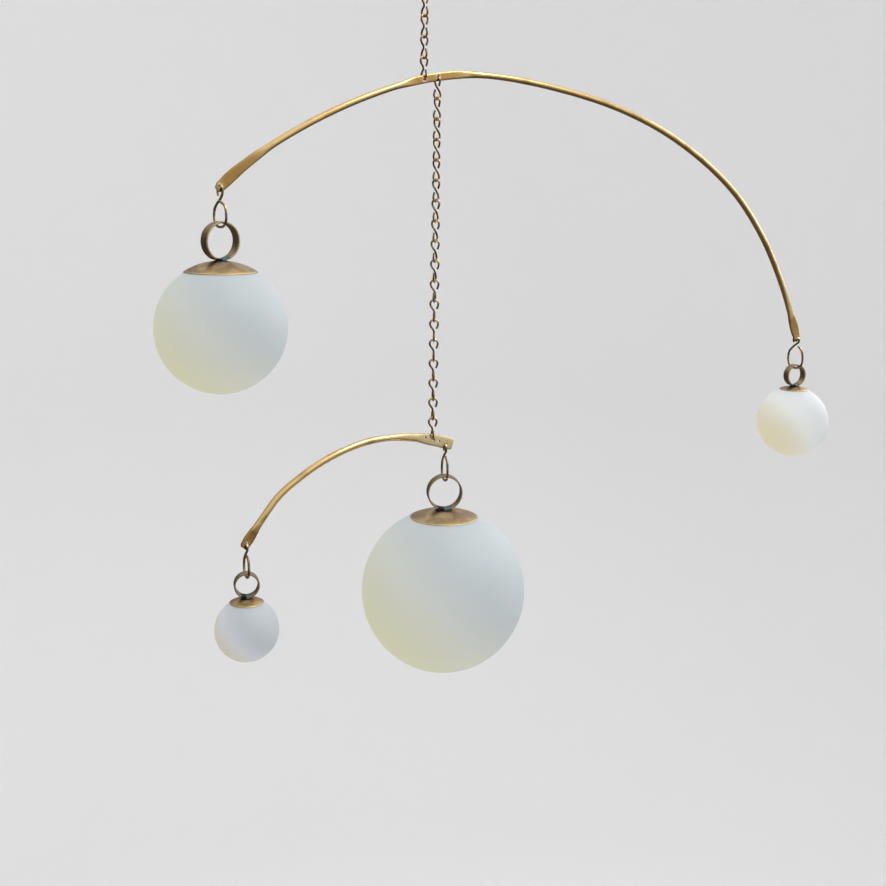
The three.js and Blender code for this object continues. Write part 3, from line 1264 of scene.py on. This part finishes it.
@dataclass(frozen=True)
class Studio:
    """A round pale room, soft light from the upper right in front, and the camera."""

    radius: float = 3.6
    height: float = 5.2
    floor_below: float = 1.5
    cove: float = 1.1
    paint: Colour = (0.86, 0.86, 0.865)
    camera_place: Triple = (-0.441, -0.8648, -0.1592)
    heading: float = -28.0
    downward: float = 7.22
    roll: float = -0.8
    lens: float = 52.8
    shift_up: float = -0.12
    brightest: Triple = (0.32, -0.28, 0.9)
    sky: Colour = (1.0, 0.995, 0.99)
    dim_side: Colour = (0.12, 0.105, 0.10)
    lights: tuple[Softbox, ...] = (
        Softbox("key", (0.75, -1.25, 1.9), 1.1, 32.0, (1.0, 0.995, 0.985)),
        Softbox("side", (1.9, 0.2, 0.7), 1.2, 14.0, (0.97, 0.98, 1.0)),
    )

    def build_room(self, middle: Vector, low: Vector) -> None:
        """Makes the floor and the round wall as one coved shell, which metal doesn't mirror.

        Args:
            middle: The object's middle.
            low: The object's lowest corner.
        """
        floor = low.z - self.floor_below
        Bench.clear()
        bpy.ops.mesh.primitive_cylinder_add(
            vertices=128, radius=self.radius, depth=self.height,
            location=(middle.x, middle.y, floor + self.height / 2),
        )
        room = Bench.named("studio_room")
        top = floor + self.height
        with Bench.editing(room):
            Bench.pick(room, Element.FACES, lambda face: face.calc_center_median().z > top - 0.01)
            bpy.ops.mesh.delete(type="FACE")
            Bench.pick(room, Element.EDGES, lambda edge: all(v.co.z < floor + 0.01 for v in edge.verts))
            bpy.ops.mesh.bevel(offset=self.cove, segments=14, affect="EDGES")
        bpy.ops.object.shade_smooth_by_angle(angle=radians(40))
        room.data.materials.append(self.wall_finish())
        room.visible_glossy = False
        room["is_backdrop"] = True

    def wall_finish(self) -> bpy.types.Material:
        """Wires the room's plain matt paint."""
        material, sheet = Sheet.of("studio_paint")
        shader = sheet.add("BsdfPrincipled", {"Base Color": rgba(self.paint), "Roughness": 0.95})
        sheet.add("OutputMaterial", {"Surface": shader.outputs[0]})
        return material

    def build_sky(self) -> None:
        """Lights the room softly from above and the right, with a dim side for metal to mirror."""
        world = bpy.data.worlds.new("studio_sky")
        bpy.context.scene.world = world
        world.use_nodes = True
        sheet = Sheet(world.node_tree)
        towards = sheet.add("TexCoord").outputs["Generated"]
        height = sheet.add(
            "VectorMath", {0: towards, 1: Vector(self.brightest).normalized()}, operation="DOT_PRODUCT",
        ).outputs["Value"]
        light = sheet.mix(sheet.ramp(height, -0.35, 0.75), self.dim_side, self.sky)
        background = sheet.add("Background", {"Color": light, "Strength": 1.0})
        sheet.add("OutputWorld", {"Surface": background.outputs[0]})

    def build_camera(self) -> None:
        """Sets up the camera, level but for a slight roll."""
        bpy.ops.object.camera_add(location=self.camera_place)
        camera = bpy.context.active_object
        camera.name = "camera"
        heading, downward, roll = (radians(value) for value in (self.heading, self.downward, self.roll))
        forward = Vector(
            (-math.sin(heading) * math.cos(downward), math.cos(heading) * math.cos(downward),
             -math.sin(downward))
        )
        level = forward.cross(Vector((0, 0, 1))).normalized()
        upright = level.cross(forward)
        right = level * math.cos(roll) - upright * math.sin(roll)
        up = level * math.sin(roll) + upright * math.cos(roll)
        turned = Matrix((right, up, -forward)).transposed().to_4x4()
        camera.matrix_world = Matrix.Translation(self.camera_place) @ turned
        camera.data.sensor_width = 36.0
        camera.data.lens = self.lens
        camera.data.shift_y = self.shift_up
        bpy.context.scene.camera = camera

    def build(self, low: Vector, high: Vector) -> None:
        """Builds the room, the lights and the camera round the object.

        Args:
            low: The object's lowest corner.
            high: Its highest corner.
        """
        middle = (low + high) / 2
        self.build_camera()
        self.build_room(middle, low)
        self.build_sky()
        for light in self.lights:
            light.build(middle)
        bpy.context.scene.view_settings.view_transform = "Standard"


# ---- the mobile --------------------------------------------------------------------------------------

CHAIN_BRASS = Brass(
    "chain_brass", rubbed_and_glint=(0.80, 0.60, 0.32), aged=(0.30, 0.19, 0.08), dark=(0.13, 0.08, 0.035),
    roughness=0.28, cloud_scale=260, cloud_level=0.5,
)
# Its flat colour is painted darker, partly a painted reflection of the dark room.
ARM_BRASS = Brass(
    "arm_brass", rubbed_and_glint=(0.90, 0.74, 0.42), aged=(0.74, 0.52, 0.22), dark=(0.46, 0.30, 0.11),
    flat=(0.36, 0.19, 0.045), roughness=0.24, cloud_scale=45, cloud_level=0.6, relief=0.12,
)
HOOK_BRASS = Brass(
    "hook_brass", rubbed_and_glint=(0.90, 0.76, 0.46), aged=(0.44, 0.34, 0.16), dark=(0.20, 0.15, 0.07),
    roughness=0.2, cloud_scale=240, cloud_level=0.5, relief=0.15,
)
RING_BRASS = Brass(
    "ring_brass", rubbed_and_glint=(0.50, 0.40, 0.22), aged=(0.40, 0.31, 0.16), dark=(0.25, 0.19, 0.13),
    roughness=0.36, cloud_scale=110, cloud_level=0.55, relief=0.15,
)
CAP_BRASS = Brass(
    "cap_brass", rubbed_and_glint=(0.66, 0.52, 0.28), aged=(0.50, 0.37, 0.19), dark=(0.33, 0.225, 0.15),
    roughness=0.36, cloud_scale=55, cloud_level=0.52, relief=0.15,
)
SOLDER = Brass(
    "solder", rubbed_and_glint=(0.5, 0.5, 0.5), aged=(0.16, 0.16, 0.17), dark=(0.04, 0.045, 0.045),
    roughness=0.34, cloud_scale=400, cloud_level=0.5, relief=0.4,
)

LONG_ARM = ForgedArm(
    "forged_long_arm",
    "long_arm",
    path=(
        (-158.1, -81.3), (-143.2, -67.9), (-114, -47.4), (-68.4, -23.4), (-21, -5.3), (14, 2.9), (47, 5.5),
        (100, 0.9), (176, -15.3), (237, -40.2), (294.2, -78.6), (330.6, -119.7), (355.3, -162),
        (367.5, -190), (375.9, -211.6),
    ),
    sections=(
        Section(0, 4.6, 1.8), Section(0.005, 7.4, 2), Section(0.018, 8.2, 2.1), Section(0.045, 6.8, 2.9),
        Section(0.085, 4.9, 4.5), Section(0.235, 4.7, 4.8), Section(0.268, 6.2, 2.8), Section(0.31, 6.1, 2.8),
        Section(0.36, 4.7, 4.6), Section(0.5, 4.8, 4.8), Section(0.9, 5, 4.9), Section(0.955, 5.6, 3.8),
        Section(0.982, 8.8, 2.1), Section(0.995, 7, 1.9), Section(1, 4.4, 1.7),
    ),
    flats=(Flat(0.03, 0.05, 46), Flat(0.29, 0.045, 34), Flat(0.975, 0.04, 46)),
    holes=(Hole((0, 0), 1.5), Hole((11.1, 2.9), 1.5), Hole((-156.1, -78.3), 1.5), Hole((374.6, -208.5), 1.5)),
)
SHORT_ARM = ForgedArm(
    "forged_short_arm",
    "short_arm",
    path=(
        (-156.2, -63.2), (-150.3, -55.4), (-140.9, -43.2), (-128.2, -28.6), (-115.3, -19.3), (-96.1, -8.6),
        (-76.5, -1), (-56.5, 3.7), (-36.1, 4.8), (-15.2, 2.7), (4.3, -1.7), (17.6, -5.6),
    ),
    sections=(
        Section(0, 4.6, 1.7), Section(0.01, 6.8, 1.9), Section(0.035, 7.6, 2.1), Section(0.1, 5.4, 3.6),
        Section(0.16, 4.9, 4.7), Section(0.7, 4.9, 4.7), Section(0.82, 6.2, 3.6), Section(0.9, 8.8, 2.4),
        Section(0.96, 9.4, 2.2), Section(0.992, 9.3, 2.1), Section(1, 7.6, 1.9),
    ),
    flats=(Flat(0.05, 0.08, 30), Flat(0.91, 0.1, 60)),
    holes=(
        Hole((0, 0), 1.5), Hole((-7.3, 2.1), 1.2), Hole((5.1, -2.1), 1.2), Hole((11.3, -5), 1.5),
        Hole((-153.7, -60.3), 1.5),
    ),
    turn=4,
    bright=0.9,
    stations=170,
    seed=23,
)
# Each globe's painted shading and painted glow, set for its own light direction.
RIGHT_OPAL = Opal(
    "right_opal", painted_lit_colour=(0.32, 0.33, 0.34), middle=(0.36, 0.365, 0.355), painted_far_colour=(0.35, 0.31, 0.22),
    lit_side_painted_glow=(0.31, 0.33, 0.34), across_painted_glow=(0.40, 0.42, 0.41), far_side_painted_glow=(0.43, 0.40, 0.28),
    towards_light=(0.75, -0.20, 0.62),
)
SMALL_OPAL = Opal(
    "small_opal", painted_lit_colour=(0.27, 0.29, 0.31), middle=(0.30, 0.305, 0.315), painted_far_colour=(0.29, 0.26, 0.18),
    lit_side_painted_glow=(0.21, 0.23, 0.24), across_painted_glow=(0.33, 0.34, 0.37), far_side_painted_glow=(0.35, 0.32, 0.25),
    towards_light=(0.60, -0.45, 0.66),
)
GLOBE_SETS = (
    GlobeSet("left", 28.6, 9.5, 1.9, 27, 8, 51.2, 46.2, 13.5, 19, Opal("left_opal"), seed=3),
    GlobeSet("right", 27.7, 6.4, 0, 19.4, 6.6, 25, 31, -5, 20, RIGHT_OPAL, seed=8),
    GlobeSet("big", 28.3, 7.5, 0.2, 27.2, 8.5, 52.4, 63.3, -20, -9.6, Opal("big_opal"), seed=14),
    GlobeSet("small", 24.5, 6.4, 0.6, 18.2, 7, 24.6, 23, -15.8, -4.6, SMALL_OPAL, seed=21),
)


def main() -> None:
    """Builds the mobile round the frame, then the studio."""
    logging.basicConfig(level=logging.INFO, format="%(message)s")
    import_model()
    low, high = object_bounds()
    Studio().build(low, high)
    HangingRing().build(CHAIN_BRASS)
    JackChain("upper", links=5, top_turn=108, bottom_turn=98).build(CHAIN_BRASS)
    LONG_ARM.build(ARM_BRASS)
    JackChain("lower", links=18, top_turn=11, bottom_turn=75, seed=9).build(CHAIN_BRASS)
    SHORT_ARM.build(ARM_BRASS)
    for globe_set in GLOBE_SETS:
        globe_set.build(HOOK_BRASS, RING_BRASS, CAP_BRASS, SOLDER)


if __name__ == "__main__":
    main()
